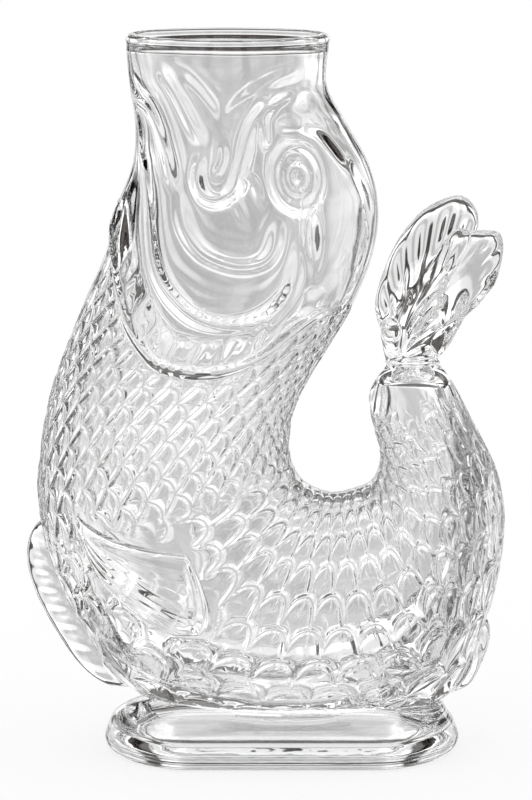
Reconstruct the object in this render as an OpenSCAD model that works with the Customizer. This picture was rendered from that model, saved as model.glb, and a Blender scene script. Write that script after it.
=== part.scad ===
// Fish-shaped gurgle jug in clear glass: a blown, hollow fish that stands on an oval foot,
// pours from its open mouth and is held by its curled tail. Millimetres, +Z up.
// The origin is the centre of the foot on the table. The fish's belly faces -X, its back and
// tail face +X, and its left side faces -Y.

/* [Mouth] */
// Height of the lip above the table
jug_h = 261; // [252:1:285]
// Outside diameter of the mouth over the lip
mouth_d = 75; // [66:1:84]
// Distance from the foot's centre to the mouth's centre, negative towards the belly
mouth_x = -21; // [-26:0.5:-16]
// Diameter of the round bead that makes the lip
lip_d = 6; // [5:0.1:8]
// How far the lip stands proud of the neck
lip_proud = 1; // [0.5:0.1:1.5]

/* [Body] */
// Length of the fish from the front of the belly to the back of the tail
body_l = 170; // [160:1:180]
// Width of the fish across its widest section
body_w = 107; // [98:1:116]

/* [Glass] */
// Thickness of the blown wall
wall = 4.5; // [3:0.1:6]
// Thickness of the floor over the foot
floor_t = 7; // [4:0.5:10]
// Length of solid glass at the closed end of the tail
tail_plug = 10; // [8:0.5:14]

/* [Foot] */
// Length of the foot on the table
foot_l = 130; // [124:1:140]
// Width of the foot on the table
foot_w = 94; // [84:1:106]
// Height of the foot, up to the waist under the belly
foot_h = 17; // [13:0.5:20]
// Length of the straight front and back of the foot
foot_straight = 78; // [60:1:90]
// Length of the waist where the belly joins the foot
waist_l = 119; // [112:1:122]
// Width of the waist
waist_w = 62; // [56:1:76]
// Rounding of the foot's bottom edge
foot_round = 5; // [1.5:0.5:6]

/* [Scales] */
// Length of a scale along the body
scale_l = 10; // [9:0.5:13]
// How far a scale stands out of the body
scale_h = 1.3; // [0.6:0.1:1.8]
// Scales in one turn round the body
scales_round = 24; // [18:1:26]

/* [Head] */
// Thickness of the gill cover at its free edge
gill_t = 2.6; // [1.5:0.1:4]
// Thickness of the cheek at its rim
cheek_t = 1.8; // [1:0.1:3]
// Height of the fold across the cheek
fold_h = 1.2; // [0.6:0.1:2]
// Height of the folds round the mouth, the nose and the brow
face_fold_h = 2.2; // [1:0.1:3]
// Width of those folds
face_fold_w = 4.6; // [3.6:0.1:5]
// Length of the raised ring round the eye, along the head
eye_l = 24; // [18:0.5:25]
// Width of the raised ring round the eye
eye_w = 19; // [14:0.5:20]
// Height of the eye's ring
eye_ring_h = 2.2; // [1.5:0.1:3.5]
// Diameter of the eyeball inside the ring
eyeball_d = 9; // [7:0.5:11]

/* [Fins] */
// Thickness of a side fin at its free edge
side_fin_t = 4; // [2.5:0.1:6]
// Depth of the flutes in the fins
flute_h = 0.7; // [0.3:0.1:1.2]
// Flutes across a side fin
side_fin_flutes = 6; // [4:1:8]
// How far the belly fin stands out of the belly
belly_fin_h = 10; // [6:0.5:12]
// How far the rear fin stands out under the tail
rear_fin_h = 5; // [3:0.5:8]
// Thickness of the belly and rear fins at the root
keel_fin_t = 7; // [4:0.5:9]

/* [Tail] */
// Diameter of the collar where the tail fin is fused on
collar_d = 19; // [16:0.5:22]
// Height of the collar above the table
collar_z = 141; // [139:0.5:148]
// Distance from the foot's centre to the collar's centre
collar_x = 47.5; // [45:0.5:51]
// Height of the tail fin's far edge above the collar
tail_fin_h = 57; // [50:1:62]
// Thickness of the tail fin near its tips
tail_fin_t = 6; // [4:0.1:8]
// Flutes across the tail fin
tail_flutes = 7; // [5:1:8]

/* [Hidden] */
glass = [0.84, 0.90, 0.90, 0.6];

// Heights of the flat joints: the lip's seat on the neck and the inside floor
lip_seat_z = jug_h - lip_d * 5 / 6;
floor_z = foot_h + floor_t;
neck_r = mouth_d / 2 - lip_proud;

// Guide lines of the fish, one row for each numbered section from below the mouth to below the
// collar: where the section meets the back line, where it meets the belly line, and half its
// depth in Y. Distances in X are percent of the body's length, heights are percent of the
// collar's height and depths are percent of the body's width.
section_shares = [
    [[10, 172], [-32.4, 172], 33.2],
    [[13.5, 162.4], [-31.2, 161.3], 34.6],
    [[18.8, 150.4], [-31.8, 151.4], 36.4],
    [[20.6, 139.4], [-35, 139.4], 39.3],
    [[18.8, 126.6], [-37.9, 127.7], 41.6],
    [[14.4, 114.2], [-42.4, 115.6], 43.9],
    [[9.4, 104.3], [-46.5, 102.5], 45.8],
    [[5.3, 96.1], [-49.4, 91.8], 47.2],
    [[2.4, 87.9], [-51.5, 78.7], 48.6],
    [[1.5, 79.4], [-52.1, 64.9], 49.5],
    [[2.4, 73.8], [-49.4, 49.3], 50],
    [[4.4, 69.5], [-43.5, 34], 50],
    [[7.6, 67], [-32.9, 16.3], 49.5],
    [[11.5, 66], [-11.2, 7.8], 47.7],
    [[16.2, 67.4], [16.8, 7.8], 45.3],
    [[19.4, 69.5], [35.6, 13.8], 42.1],
    [[20.9, 73.8], [44.4, 36.2], 36],
    [[20.9, 78], [47.6, 57.1], 29.9],
    [[19.4, 84.4], [45.9, 72.3], 24.8],
    [[18.5, 90.4], [41.2, 84.4], 19.6],
    [[19.4, 94.7], [36.8, 94.7], 14.5]
];
// A jug that is taller for its collar has a longer neck and head: heights between these two
// shares of the collar's height take up the difference.
neck_shares = [92, 170];
mouth_share = 185.1;
neck_stretch = jug_h - collar_z * mouth_share / 100;
function fitted(p) =
    [p.x * body_l,
     p.y * collar_z + neck_stretch * 100 * ease(neck_shares[0], neck_shares[1], p.y)] / 100;
sections = concat(
    [[[mouth_x + neck_r, lip_seat_z], [mouth_x - neck_r, lip_seat_z], neck_r]],
    [for (s = section_shares) [fitted(s[0]), fitted(s[1]), s[2] * body_w / 100]],
    [[[collar_x - collar_d / 2, collar_z], [collar_x + collar_d / 2, collar_z], collar_d / 2]]);
back_line = [for (s = sections) s[0]];
belly_line = [for (s = sections) s[1]];
half_depths = [for (s = sections) s[2]];
last_section = len(sections) - 1;

// Lines on the head as turn from the belly line in degrees and section number:
// the gill cover's free edge, and its front edge along the jaw and under the cheek
gill_edge = [[0, 3.9], [24, 4.9], [40, 5.65], [57, 6.4], [69, 6.85], [82, 7.1], [95, 7.25],
             [109, 7.15], [120, 6.85], [133, 6.3], [150, 5.9], [180, 5.7]];
gill_front = [[22, 1.8], [29, 2.85], [37, 3.4], [45, 3.9], [55, 4.9], [66, 5.45], [75, 5.75],
              [83, 5.95], [94, 6.05], [106, 5.95], [112, 5.7], [118, 5.3], [150, 4.4]];
gill_turns = [22, 150];
// The cheek lies between these turns, from this section down to the gill cover
cheek_turns = [52, 112];
cheek_top = 3.8;
cheek_fold = 0.5;

// Places on the fish as section number and turn from the belly line in degrees
eye_at = [2.92, 112];
jaw_line = [[0.9, 9], [1.25, 30], [1.6, 38], [2.1, 44], [2.7, 47], [3.35, 53]];
lip_line = [[0.6, 50], [1, 57], [1.5, 61], [2.05, 64]];
mouth_corner_line = [[2.4, 69], [2.9, 63], [3.4, 66], [3.5, 75], [3.1, 83], [2.2, 93], [1.6, 105],
                     [1.25, 114]];
nose_line = [[0.75, 64], [1.1, 73], [1.45, 81], [1.35, 95], [0.95, 109], [0.7, 115]];
brow_line = [[1.7, 118], [2.1, 128], [2.5, 132], [2.9, 135]];
side_fin_top = [[10.06, 52], [10.6, 66], [11.1, 80], [11.6, 94]];
side_fin_bottom = [[10.24, 46], [11.1, 50], [12.1, 60], [12.95, 77]];
side_fin_bulge = [0.12, 4];
belly_fin_ends = [10.55, 12.95];
rear_fin_ends = [16.05, 16.85];

// Edges and middle line of the tail fin from the collar's centre, in percent of the fin's height
tail_far_shares = [[-22.8, 12.3, 26.3], [-18.4, 24.6, 56.1], [-2.6, 31.6, 82.5], [21.1, 35.1, 100]];
tail_near_shares = [[14.9, -8.8, 22.8], [33.3, -24.6, 33.3], [50, -33.3, 54.4], [56.1, -35.1, 82.5]];
tail_middle_shares = [[-1.8, 0, 24.6], [7, 3.5, 47.4], [19.3, 7, 66.7], [31.6, 7, 82.5]];
tail_far_edge = tail_far_shares * tail_fin_h / 100;
tail_near_edge = tail_near_shares * tail_fin_h / 100;
tail_middle = tail_middle_shares * tail_fin_h / 100;
// Shares of the fin's length by which its lobes run out past their edges and the edges draw back
tail_lobe = 0.16;
tail_corner = 0.1;

// Mesh counts: columns round the body, rings inside it, and steps over the smaller forms
columns = 2 * scales_round;
inside_rings = 24;
tail_rings = 16;
tail_points = 56;
foot_steps = 7;
foot_end_points = 20;
length_steps = 220;

// How full the foot's side is: above 1 it swells outwards
foot_swell = 1.7;

// Least glass where a form runs out on the skin
thin = 0.4;

// Catmull-Rom curve through the rows of p at row number t
function curve(p, t) =
    let (i = max(0, min(floor(t), len(p) - 2)), f = t - i,
         a = p[max(i - 1, 0)], b = p[i], c = p[i + 1], d = p[min(i + 2, len(p) - 1)])
    0.5 * (2 * b + (c - a) * f + (2 * a - 5 * b + 4 * c - d) * f * f
           + (3 * b - a - 3 * c + d) * f * f * f);

// Eased step from 0 at low to 1 at high
function ease(low, high, x) =
    let (u = max(0, min(1, (x - low) / (high - low)))) u * u * (3 - 2 * u);

// Point of the blown shape at section t and turn a from the belly line, inset by a wall
function skin_point(t, a, inset = 0) =
    let (back = curve(back_line, t), belly = curve(belly_line, t), mid = (back + belly) / 2,
         arm = (belly - back) / 2, reach = arm * (1 - inset / norm(arm)),
         side = curve(half_depths, t) - inset)
    [mid.x + reach.x * cos(a), -side * sin(a), mid.y + reach.y * cos(a)];

// Outward direction of the blown shape there
function skin_normal(t, a) =
    let (e = 0.05, along = skin_point(min(t + e, last_section), a) - skin_point(max(t - e, 0), a),
         round = skin_point(t, a + 1) - skin_point(t, a - 1), n = cross(along, round))
    n / norm(n);

// Millimetres on the skin for one section and for one degree of turn, at a place on the fish
function skin_grain(p) =
    let (e = 0.1)
    [norm(skin_point(p[0] + e, p[1]) - skin_point(p[0] - e, p[1])),
     norm(skin_point(p[0], p[1] + e) - skin_point(p[0], p[1] - e))] / (2 * e);

// Point raised off the outside, held at or above the foot's top
function raised_point(t, a, h) =
    let (p = skin_point(t, a) + h * skin_normal(t, a)) [p.x, p.y, max(p.z, foot_h)];

// Section numbers at even steps along the fish, from running lengths of its middle line
function middle(t) = (curve(back_line, t) + curve(belly_line, t)) / 2;
function step_section(i) = min(i, length_steps) * last_section / length_steps;
length_table = [for (i = 0, run = 0; i <= length_steps;
                     run = run + norm(middle(step_section(i + 1)) - middle(step_section(i))), i = i + 1)
                [run, step_section(i)]];
fish_l = length_table[length_steps][0];
function section_at(run) = lookup(run, length_table);

// Scales run from the gill edge to just short of the collar, and stop at the waist and the fins
function scale_height(t, a) =
    let (side = a > 180 ? 360 - a : a, past_gill = t - lookup(side, gill_edge))
    under_side_fin(t, side) || under_keel_fin(t, side, belly_fin_ends)
    || under_keel_fin(t, side, rear_fin_ends) ? 0
    : scale_h * ease(0.1, 0.7, past_gill) * (1 - ease(last_section - 1.6, last_section - 0.4, t))
      * ease(foot_h, foot_h + 3 * scale_h, skin_point(t, a).z);
function under_side_fin(t, side) =
    let (margin = 0.35, spread = 6, end = len(side_fin_top) - 1)
    t > side_fin_top[0][0] - margin && t < side_fin_bottom[end][0] + margin
    && side > lookup(t, side_fin_bottom) - spread
    && side < lookup(t, concat(side_fin_top, [side_fin_bottom[end]])) + spread;

function under_keel_fin(t, side, ends) =
    let (margin = 0.3, columns_clear = 1.05 * 360 / columns)
    side < max(columns_clear, keel_half_turn(ends) + 2)
    && t > ends[0] - margin && t < ends[1] + margin;
function keel_half_turn(ends) =
    keel_fin_t / 2 / curve(half_depths, (ends[0] + ends[1]) / 2) * 180 / PI;

// Closed skin over a list of equal rings. Quads are split so that the raised corners of the
// chequered scale pattern become the tops of four-sided pads. Each end is closed straight across.
module skin(rings) {
    n = len(rings[0]);
    m = len(rings);
    quads = [for (r = [0 : m - 2], j = [0 : n - 1])
             let (k = (j + 1) % n, p = r * n + j, q = r * n + k, s = p + n, u = q + n)
             each (r + j) % 2 == 0 ? [[p, s, q], [q, s, u]] : [[p, u, q], [p, s, u]]];
    across = [for (j = [0 : n / 2 - 1]) let (p = j, q = j + 1, s = (n - j) % n, u = n - j - 1)
              each j == 0 ? [[p, q, u]] : j == n / 2 - 1 ? [[p, q, s]] : [[p, q, u], [p, u, s]]];
    end = [for (f = across) [for (i = [2 : -1 : 0]) (m - 1) * n + f[i]]];
    polyhedron([for (r = rings) each r], concat(quads, across, end), convexity = 10);
}

// Solid patch on the fish's skin. place(u, v) gives [section, turn] and height(u, v) the glass
// above the skin, for u and v from 0 to 1. The base lies on the skin.
module patch(place, height, nu, nv) {
    w = nv + 1;
    size = (nu + 1) * w;
    spots = [for (i = [0 : nu], j = [0 : nv]) place(i / nu, j / nv)];
    rises = [for (i = [0 : nu], j = [0 : nv]) height(i / nu, j / nv)];
    top = [for (k = [0 : size - 1]) raised_point(spots[k][0], spots[k][1], rises[k])];
    base = [for (p = spots) raised_point(p[0], p[1], 0)];
    upper = [for (i = [0 : nu - 1], j = [0 : nv - 1]) let (p = i * w + j)
             each [[p, p + 1, p + w + 1], [p, p + w + 1, p + w]]];
    under = [for (f = upper) [size + f[2], size + f[1], size + f[0]]];
    edge = concat([for (i = [0 : nu - 1]) i * w], [for (j = [0 : nv - 1]) nu * w + j],
                  [for (i = [nu : -1 : 1]) i * w + nv], [for (j = [nv : -1 : 1]) j]);
    walls = [for (e = [0 : len(edge) - 1])
             let (a = edge[e], b = edge[(e + 1) % len(edge)])
             each [[a, b, size + b], [a, size + b, size + a]]];
    polyhedron(concat(top, base), concat(upper, under, walls), convexity = 6);
}

// Mirror image for the fish's right side
module right_side() {
    mirror([0, 1, 0]) children();
}

// Blown shell: inside from the tail's end up to the neck, then outside from the neck to the collar
module body_shell() {
    rows = round(fish_l / (scale_l / 2));
    inside_end = section_at(fish_l - tail_plug);
    inner = [for (i = [inside_rings : -1 : 0])
             [for (j = [0 : columns - 1])
              let (p = skin_point(inside_end * i / inside_rings, 360 * j / columns, wall))
              [p.x, p.y, max(p.z, floor_z)]]];
    outer = [for (i = [0 : rows])
             [for (j = [0 : columns - 1])
              let (a = 360 * j / columns, raised = (i + len(inner) + j) % 2 == 0,
                   run = fish_l * i / rows, h = raised ? scale_height(section_at(run), a) : 0,
                   lean = scale_l * 0.15 * h / scale_h)
              raised_point(section_at(min(fish_l, run + lean)), a, h)]];
    color(glass) skin(concat(inner, outer));
}

// Fire-polished bead that sits on the neck
module lip_ring() {
    bead_r = mouth_d / 2 - lip_d / 2;
    color(glass) translate([mouth_x, 0, 0]) rotate_extrude($fn = 96)
        difference() {
            translate([bead_r, jug_h - lip_d / 2]) circle(d = lip_d, $fn = 48);
            translate([bead_r - lip_d, lip_seat_z - lip_d]) square([2 * lip_d, lip_d]);
        }
}

// Foot: straight front and back, bowed ends, swelling out from the waist to a rounded bottom edge
module foot() {
    // Bowed end from the front corner round to the back corner, as an arc of one circle
    function end_arc(l, w) =
        let (bow = l / 2 - foot_straight / 2, r = (w * w / 4 + bow * bow) / (2 * bow),
             turn = asin(w / 2 / r))
        [for (i = [0 : foot_end_points]) let (a = turn * (2 * i / foot_end_points - 1))
         [l / 2 - r + r * cos(a), r * sin(a)]];
    function outline(l, w) = let (arc = end_arc(l, w)) concat(arc, -arc);
    function ring(z, l, w) = [for (p = outline(l, w)) [p.x, p.y, z]];
    below = foot_round;
    flat = ring(-below, foot_l - 2 * foot_round, foot_w - 2 * foot_round);
    edge = [for (i = [0 : foot_steps]) let (a = 90 * i / foot_steps, in = 2 * foot_round * (1 - sin(a)))
            ring(foot_round * (1 - cos(a)), foot_l - in, foot_w - in)];
    side = [for (i = [1 : foot_steps]) let (s = i / foot_steps, flare = pow(s, foot_swell))
            ring(foot_round + (foot_h - foot_round) * s, foot_l + (waist_l - foot_l) * flare,
                 foot_w + (waist_w - foot_w) * flare)];
    color(glass) difference() {
        skin(concat([flat], edge, side));
        translate([-foot_l, -foot_w, -2 * below]) cube([2 * foot_l, 2 * foot_w, 2 * below]);
    }
}

// Solid fluted tail fin, twisted so that one lobe comes forward and one goes back
module tail_fin() {
    r = collar_d / 2;
    far = concat([[-r, 0, 0]], tail_far_edge);
    near = concat([[r, 0, 0]], tail_near_edge);
    mid = concat([[0, 0, 0]], tail_middle);
    rows = len(mid) - 1;
    // Point of the fan's middle sheet, w from -1 at the far edge to 1 at the near edge
    function sheet(w, v) =
        let (l = curve(far, v * rows), n = curve(near, v * rows), m = curve(mid, v * rows))
        m + (n - l) / 2 * w + ((n + l) / 2 - m) * w * w;
    // Direction through the fan's thickness: level at the collar, square to the fan above it
    function through(v) =
        let (across = curve(near, v * rows) - curve(far, v * rows),
             up = curve(mid, v * rows + 0.3) - curve(mid, max(0, v * rows - 0.3)),
             n = cross(up, across), s = ease(0, 0.4, v), d = n / norm(n) * s + [0, 1, 0] * (1 - s))
        d / norm(d);
    function lobe(w, v) = 1 + (tail_lobe * pow(sin(180 * abs(w)), 2) - tail_corner * pow(w, 6)) * v * v;
    function flute(w, v) = flute_h * ease(0.2, 0.5, v) * cos(180 * tail_flutes * (w + 1)) * (1 - w * w);
    function half_t(w, v) = r + (tail_fin_t / 2 - r) * ease(0, 0.6, v) + flute(w, v);
    color(glass) translate([collar_x, 0, collar_z])
        skin([for (i = [0 : tail_rings])
              [for (j = [0 : tail_points - 1])
               let (v = i / tail_rings, a = 360 * j / tail_points, w = cos(a),
                    thinned = 1 - 0.5 * ease(0.85, 1, v))
               sheet(w, v * lobe(w, v)) + through(v) * half_t(w, v) * sin(a) * thinned]]);
}

// Gill cover: a crescent under the cheek, thickest at its free edge
module left_gill_cover() {
    function turn(v) = gill_turns[0] + (gill_turns[1] - gill_turns[0]) * v;
    function place(u, v) =
        [lookup(turn(v), gill_front) * (1 - u) + lookup(turn(v), gill_edge) * u, turn(v)];
    function height(u, v) = thin + gill_t * ease(0, 1, u) * ease(0, 0.15, v) * ease(0, 0.15, 1 - v);
    color(glass) patch(function(u, v) place(u, v), function(u, v) height(u, v), 10, 28);
}

module right_gill_cover() {
    right_side() left_gill_cover();
}

// Cheek: a rounded plate between the mouth and the gill cover, with one fold across it
module left_cheek() {
    function turn(v) = cheek_turns[0] + (cheek_turns[1] - cheek_turns[0]) * v;
    function place(u, v) = [cheek_top * (1 - u) + lookup(turn(v), gill_front) * u, turn(v)];
    function height(u, v) = let (fold = exp(-pow((u - cheek_fold) / 0.12, 2)))
        thin + (cheek_t * ease(0.4, 1, u) + fold_h * fold) * ease(0, 0.15, v) * ease(0, 0.15, 1 - v);
    color(glass) patch(function(u, v) place(u, v), function(u, v) height(u, v), 14, 14);
}

module right_cheek() {
    right_side() left_cheek();
}

// Soft fold of glass along a line on the head
module face_fold(line, steps) {
    function place(u, v) =
        let (e = 0.05, at = u * (len(line) - 1), p = curve(line, at), grain = skin_grain(p),
             d = curve(line, at + e) - curve(line, at - e), along = [d.x * grain.x, d.y * grain.y],
             across = [-along.y, along.x] / norm(along) * face_fold_w * (v - 0.5))
        p + [across.x / grain.x, across.y / grain.y];
    function height(u, v) =
        thin + face_fold_h * (1 - cos(360 * v)) / 2 * ease(0, 0.15, u) * ease(0, 0.15, 1 - u);
    color(glass) patch(function(u, v) place(u, v), function(u, v) height(u, v), steps, 4);
}

module left_jaw_fold() {
    face_fold(jaw_line, 12);
}

module right_jaw_fold() {
    right_side() left_jaw_fold();
}

module left_lip_fold() {
    face_fold(lip_line, 7);
}

module right_lip_fold() {
    right_side() left_lip_fold();
}

// Fold that hooks round the corner of the mouth and runs up towards the nose
module left_mouth_corner() {
    face_fold(mouth_corner_line, 16);
}

module right_mouth_corner() {
    right_side() left_mouth_corner();
}

module left_nose_fold() {
    face_fold(nose_line, 12);
}

module right_nose_fold() {
    right_side() left_nose_fold();
}

module left_brow() {
    face_fold(brow_line, 7);
}

module right_brow() {
    right_side() left_brow();
}

// Raised eye: an oval ring with a round eyeball inside it
module left_eye() {
    grain = skin_grain(eye_at);
    // The square of u and v drawn in to a unit disc
    function disc(u, v) =
        let (x = 2 * u - 1, y = 2 * v - 1) [x * sqrt(1 - y * y / 2), y * sqrt(1 - x * x / 2)];
    function place(u, v) = let (d = disc(u, v))
        [eye_at[0] + d.x * eye_l / 2 / grain.x, eye_at[1] + d.y * eye_w / 2 / grain.y];
    function height(u, v) = let (d = norm(disc(u, v)), ball = eyeball_d / eye_w)
        thin + eye_ring_h * exp(-pow((d - 0.76) / 0.14, 2))
        + eyeball_d / 4 * sqrt(max(0, 1 - pow(d / ball, 2)));
    color(glass) patch(function(u, v) place(u, v), function(u, v) height(u, v), 14, 14);
}

module right_eye() {
    right_side() left_eye();
}

// Side fin: a fluted fan that lies back along the body, thickest at its free edges
module left_side_fin() {
    rows = len(side_fin_top) - 1;
    function place(u, v) =
        curve(side_fin_bottom, rows * u) * (1 - v) + curve(side_fin_top, rows * u) * v
        + side_fin_bulge * 4 * v * (1 - v) * u * u;
    function height(u, v) = thin + side_fin_t * ease(0, 0.7, u) * (1 - 0.45 * ease(0.5, 1, v))
        + flute_h * ease(0.15, 0.5, u) * (1 + cos(360 * side_fin_flutes * v)) / 2;
    color(glass) patch(function(u, v) place(u, v), function(u, v) height(u, v), 10, 4 * side_fin_flutes);
}

module right_side_fin() {
    right_side() left_side_fin();
}

// Fin on the belly line between two sections, standing out by h and rounded at its edge
module keel_fin(ends, h) {
    half_turn = keel_half_turn(ends);
    function place(u, v) = [ends[0] + (ends[1] - ends[0]) * u, half_turn * (2 * v - 1)];
    function height(u, v) =
        thin + h * ease(0, 0.3, u) * ease(0, 0.25, 1 - u) * sqrt(1 - pow(2 * v - 1, 4));
    color(glass) patch(function(u, v) place(u, v), function(u, v) height(u, v), 16, 8);
}

module belly_fin() {
    keel_fin(belly_fin_ends, belly_fin_h);
}

module rear_fin() {
    keel_fin(rear_fin_ends, rear_fin_h);
}

body_shell();
lip_ring();
foot();
tail_fin();
left_gill_cover();
right_gill_cover();
left_cheek();
right_cheek();
left_eye();
right_eye();
left_jaw_fold();
right_jaw_fold();
left_lip_fold();
right_lip_fold();
left_mouth_corner();
right_mouth_corner();
left_nose_fold();
right_nose_fold();
left_brow();
right_brow();
left_side_fin();
right_side_fin();
belly_fin();
rear_fin();
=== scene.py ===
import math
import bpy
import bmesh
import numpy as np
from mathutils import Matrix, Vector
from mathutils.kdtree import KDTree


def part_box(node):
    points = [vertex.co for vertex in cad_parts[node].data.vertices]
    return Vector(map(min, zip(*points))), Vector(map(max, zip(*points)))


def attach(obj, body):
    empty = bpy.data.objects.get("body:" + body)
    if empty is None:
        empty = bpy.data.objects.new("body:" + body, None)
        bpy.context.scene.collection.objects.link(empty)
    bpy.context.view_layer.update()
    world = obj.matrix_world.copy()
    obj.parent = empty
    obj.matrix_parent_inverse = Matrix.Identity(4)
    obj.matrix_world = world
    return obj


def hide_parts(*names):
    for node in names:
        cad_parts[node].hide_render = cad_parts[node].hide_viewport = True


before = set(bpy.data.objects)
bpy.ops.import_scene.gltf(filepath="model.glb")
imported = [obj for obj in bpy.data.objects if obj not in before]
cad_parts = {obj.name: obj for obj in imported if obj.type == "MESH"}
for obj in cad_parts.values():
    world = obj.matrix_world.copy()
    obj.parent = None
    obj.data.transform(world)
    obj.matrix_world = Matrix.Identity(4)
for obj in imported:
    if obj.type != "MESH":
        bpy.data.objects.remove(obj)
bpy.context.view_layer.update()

# %% [markdown]
# A clear glass gurgle jug: a fish that stands on its belly, with its mouth open as the spout and
# its tail curled up behind as the handle. The real jug is one piece of glass, so the hot body, foot
# and fins are made here as one seamless glass skin, and the tail fin, which is pressed on later, is
# the second piece. Touching glass skins would show false lines inside, which is why the fused forms
# aren't left as separate meshes.

MM = 0.001


def node_box(name):
    """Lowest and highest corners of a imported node, in millimetres."""
    low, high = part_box(name)
    return np.array(low) / MM, np.array(high) / MM


lip_low, lip_high = node_box("lip_ring")
foot_low, foot_high = node_box("foot")
tail_low, tail_high = node_box("tail_fin")
mouth = (lip_low + lip_high) / 2
print("mouth centre mm", np.round(mouth, 1), "foot mm", np.round(foot_high - foot_low, 1))

# %% [markdown]
# The fish is drawn with guide sections from the mouth, down the throat, along the belly and up to
# the tail collar. Each row holds a point on the back line, the point across from it on the belly
# line, and half the depth there. A smooth curve through the rows gives the section at any place, so
# a point on the skin needs only two numbers: how many sections from the mouth, and the turn in
# degrees from the belly line.

# %% Guide sections
# back x and z, belly x and z, and half the depth, in millimetres
SECTIONS = [
    (16.7, 256, -56.3, 256, 36.5), (16.2, 242.5, -55, 242.5, 35.5), (23, 229, -53, 227.5, 37),
    (32, 212, -54, 213.5, 39), (35, 196.5, -59.5, 196.5, 42), (32, 178.5, -64.5, 180, 44.5),
    (24.5, 161, -72, 163, 47), (16, 147, -79, 144.5, 49), (9, 135.5, -84, 129.5, 50.5),
    (4, 124, -87.5, 111, 52), (2.5, 112, -88.5, 91.5, 53), (4, 104, -84, 69.5, 53.5),
    (7.5, 98, -74, 48, 53.5), (13, 94.5, -56, 23, 53), (19.5, 93, -19, 11, 51),
    (27.5, 95, 28.5, 11, 48.5), (33, 98, 60.5, 19.5, 45), (35.5, 104, 75.5, 51, 38.5),
    (35.5, 110, 81, 80.5, 32), (33, 119, 78, 102, 26.5), (31.5, 127.5, 70, 119, 21),
    (33, 133.5, 62.5, 133.5, 15.5), (38, 141, 57, 141, 9.5)]
LAST = len(SECTIONS) - 1


def curve(rows, t):
    """Smooth curve through the rows, at the row numbers t."""
    rows = np.asarray(rows, float)
    t = np.atleast_1d(np.asarray(t, float))
    i = np.clip(np.floor(t).astype(int), 0, len(rows) - 2)
    f = (t - i)[:, None]
    a, b = rows[np.maximum(i - 1, 0)], rows[i]
    c, d = rows[i + 1], rows[np.minimum(i + 2, len(rows) - 1)]
    return 0.5 * (2 * b + (c - a) * f + (2 * a - 5 * b + 4 * c - d) * f**2 + (3 * b - a - 3 * c + d) * f**3)


def ease(low, high, x):
    """Soft step from 0 at low to 1 at high."""
    u = np.clip((np.asarray(x, float) - low) / (high - low), 0, 1)
    return u * u * (3 - 2 * u)


def bump_at(x, width):
    """Round ridge profile: 1 at zero, fading out over the width."""
    return np.exp(-((x / width) ** 2))


# %% [markdown]
# Each section is an oval between the back line and the belly line, bulged by half the depth. The
# skin is made of such ovals, and moving them inwards by the wall gives the cavity. Two short steps,
# one along the fish and one round it, give the direction outwards. The length of the middle line
# turns section numbers into millimetres, which the scales need to be of even size.

# %% Skin of the fish
STEP_T = 0.02
STEP_TURN = 0.5
FINE_STEPS = 1201


def skin(t, turn, inset=0.0):
    """Points on the smooth fish, at sections t and turns in degrees from the belly line."""
    t, turn = np.broadcast_arrays(np.asarray(t, float), np.asarray(turn, float))
    s = curve(SECTIONS, t.ravel())
    back, belly, depth = s[:, 0:2], s[:, 2:4], s[:, 4]
    middle, arm = (back + belly) / 2, (belly - back) / 2
    reach = arm * (1 - inset / np.linalg.norm(arm, axis=1))[:, None]
    c, q = np.cos(np.radians(turn.ravel())), np.sin(np.radians(turn.ravel()))
    flat = middle + reach * c[:, None]
    return np.stack([flat[:, 0], -(depth - inset) * q, flat[:, 1]], axis=1).reshape(t.shape + (3,))


def skin_normal(t, turn):
    """Outward directions of the smooth fish."""
    along = skin(np.minimum(t + STEP_T, LAST), turn) - skin(np.maximum(t - STEP_T, 0), turn)
    around = skin(t, turn + STEP_TURN) - skin(t, turn - STEP_TURN)
    out = np.cross(along, around)
    return out / np.linalg.norm(out, axis=-1, keepdims=True)


fine_t = np.linspace(0, LAST, FINE_STEPS)
fine_sections = curve(SECTIONS, fine_t)
middle_line = (fine_sections[:, 0:2] + fine_sections[:, 2:4]) / 2
run = np.concatenate([[0], np.cumsum(np.linalg.norm(np.diff(middle_line, axis=0), axis=1))])
FISH_L = run[-1]
print("middle line of the fish mm", round(FISH_L, 1))

# %% [markdown]
# The face is a set of soft folds pressed into the mould: the jaw, the lips, the nose, the brow and
# the two curved plates of the cheek. Each fold is a line on the skin with a height and a width.
# Round blobs strung along the line are added up, as clay beads are rubbed into a roll, so that a
# fold has no crease at a bend and runs out softly at its ends. A low wide fold bends light a little
# and shows white, a steep one shows dark.

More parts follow.
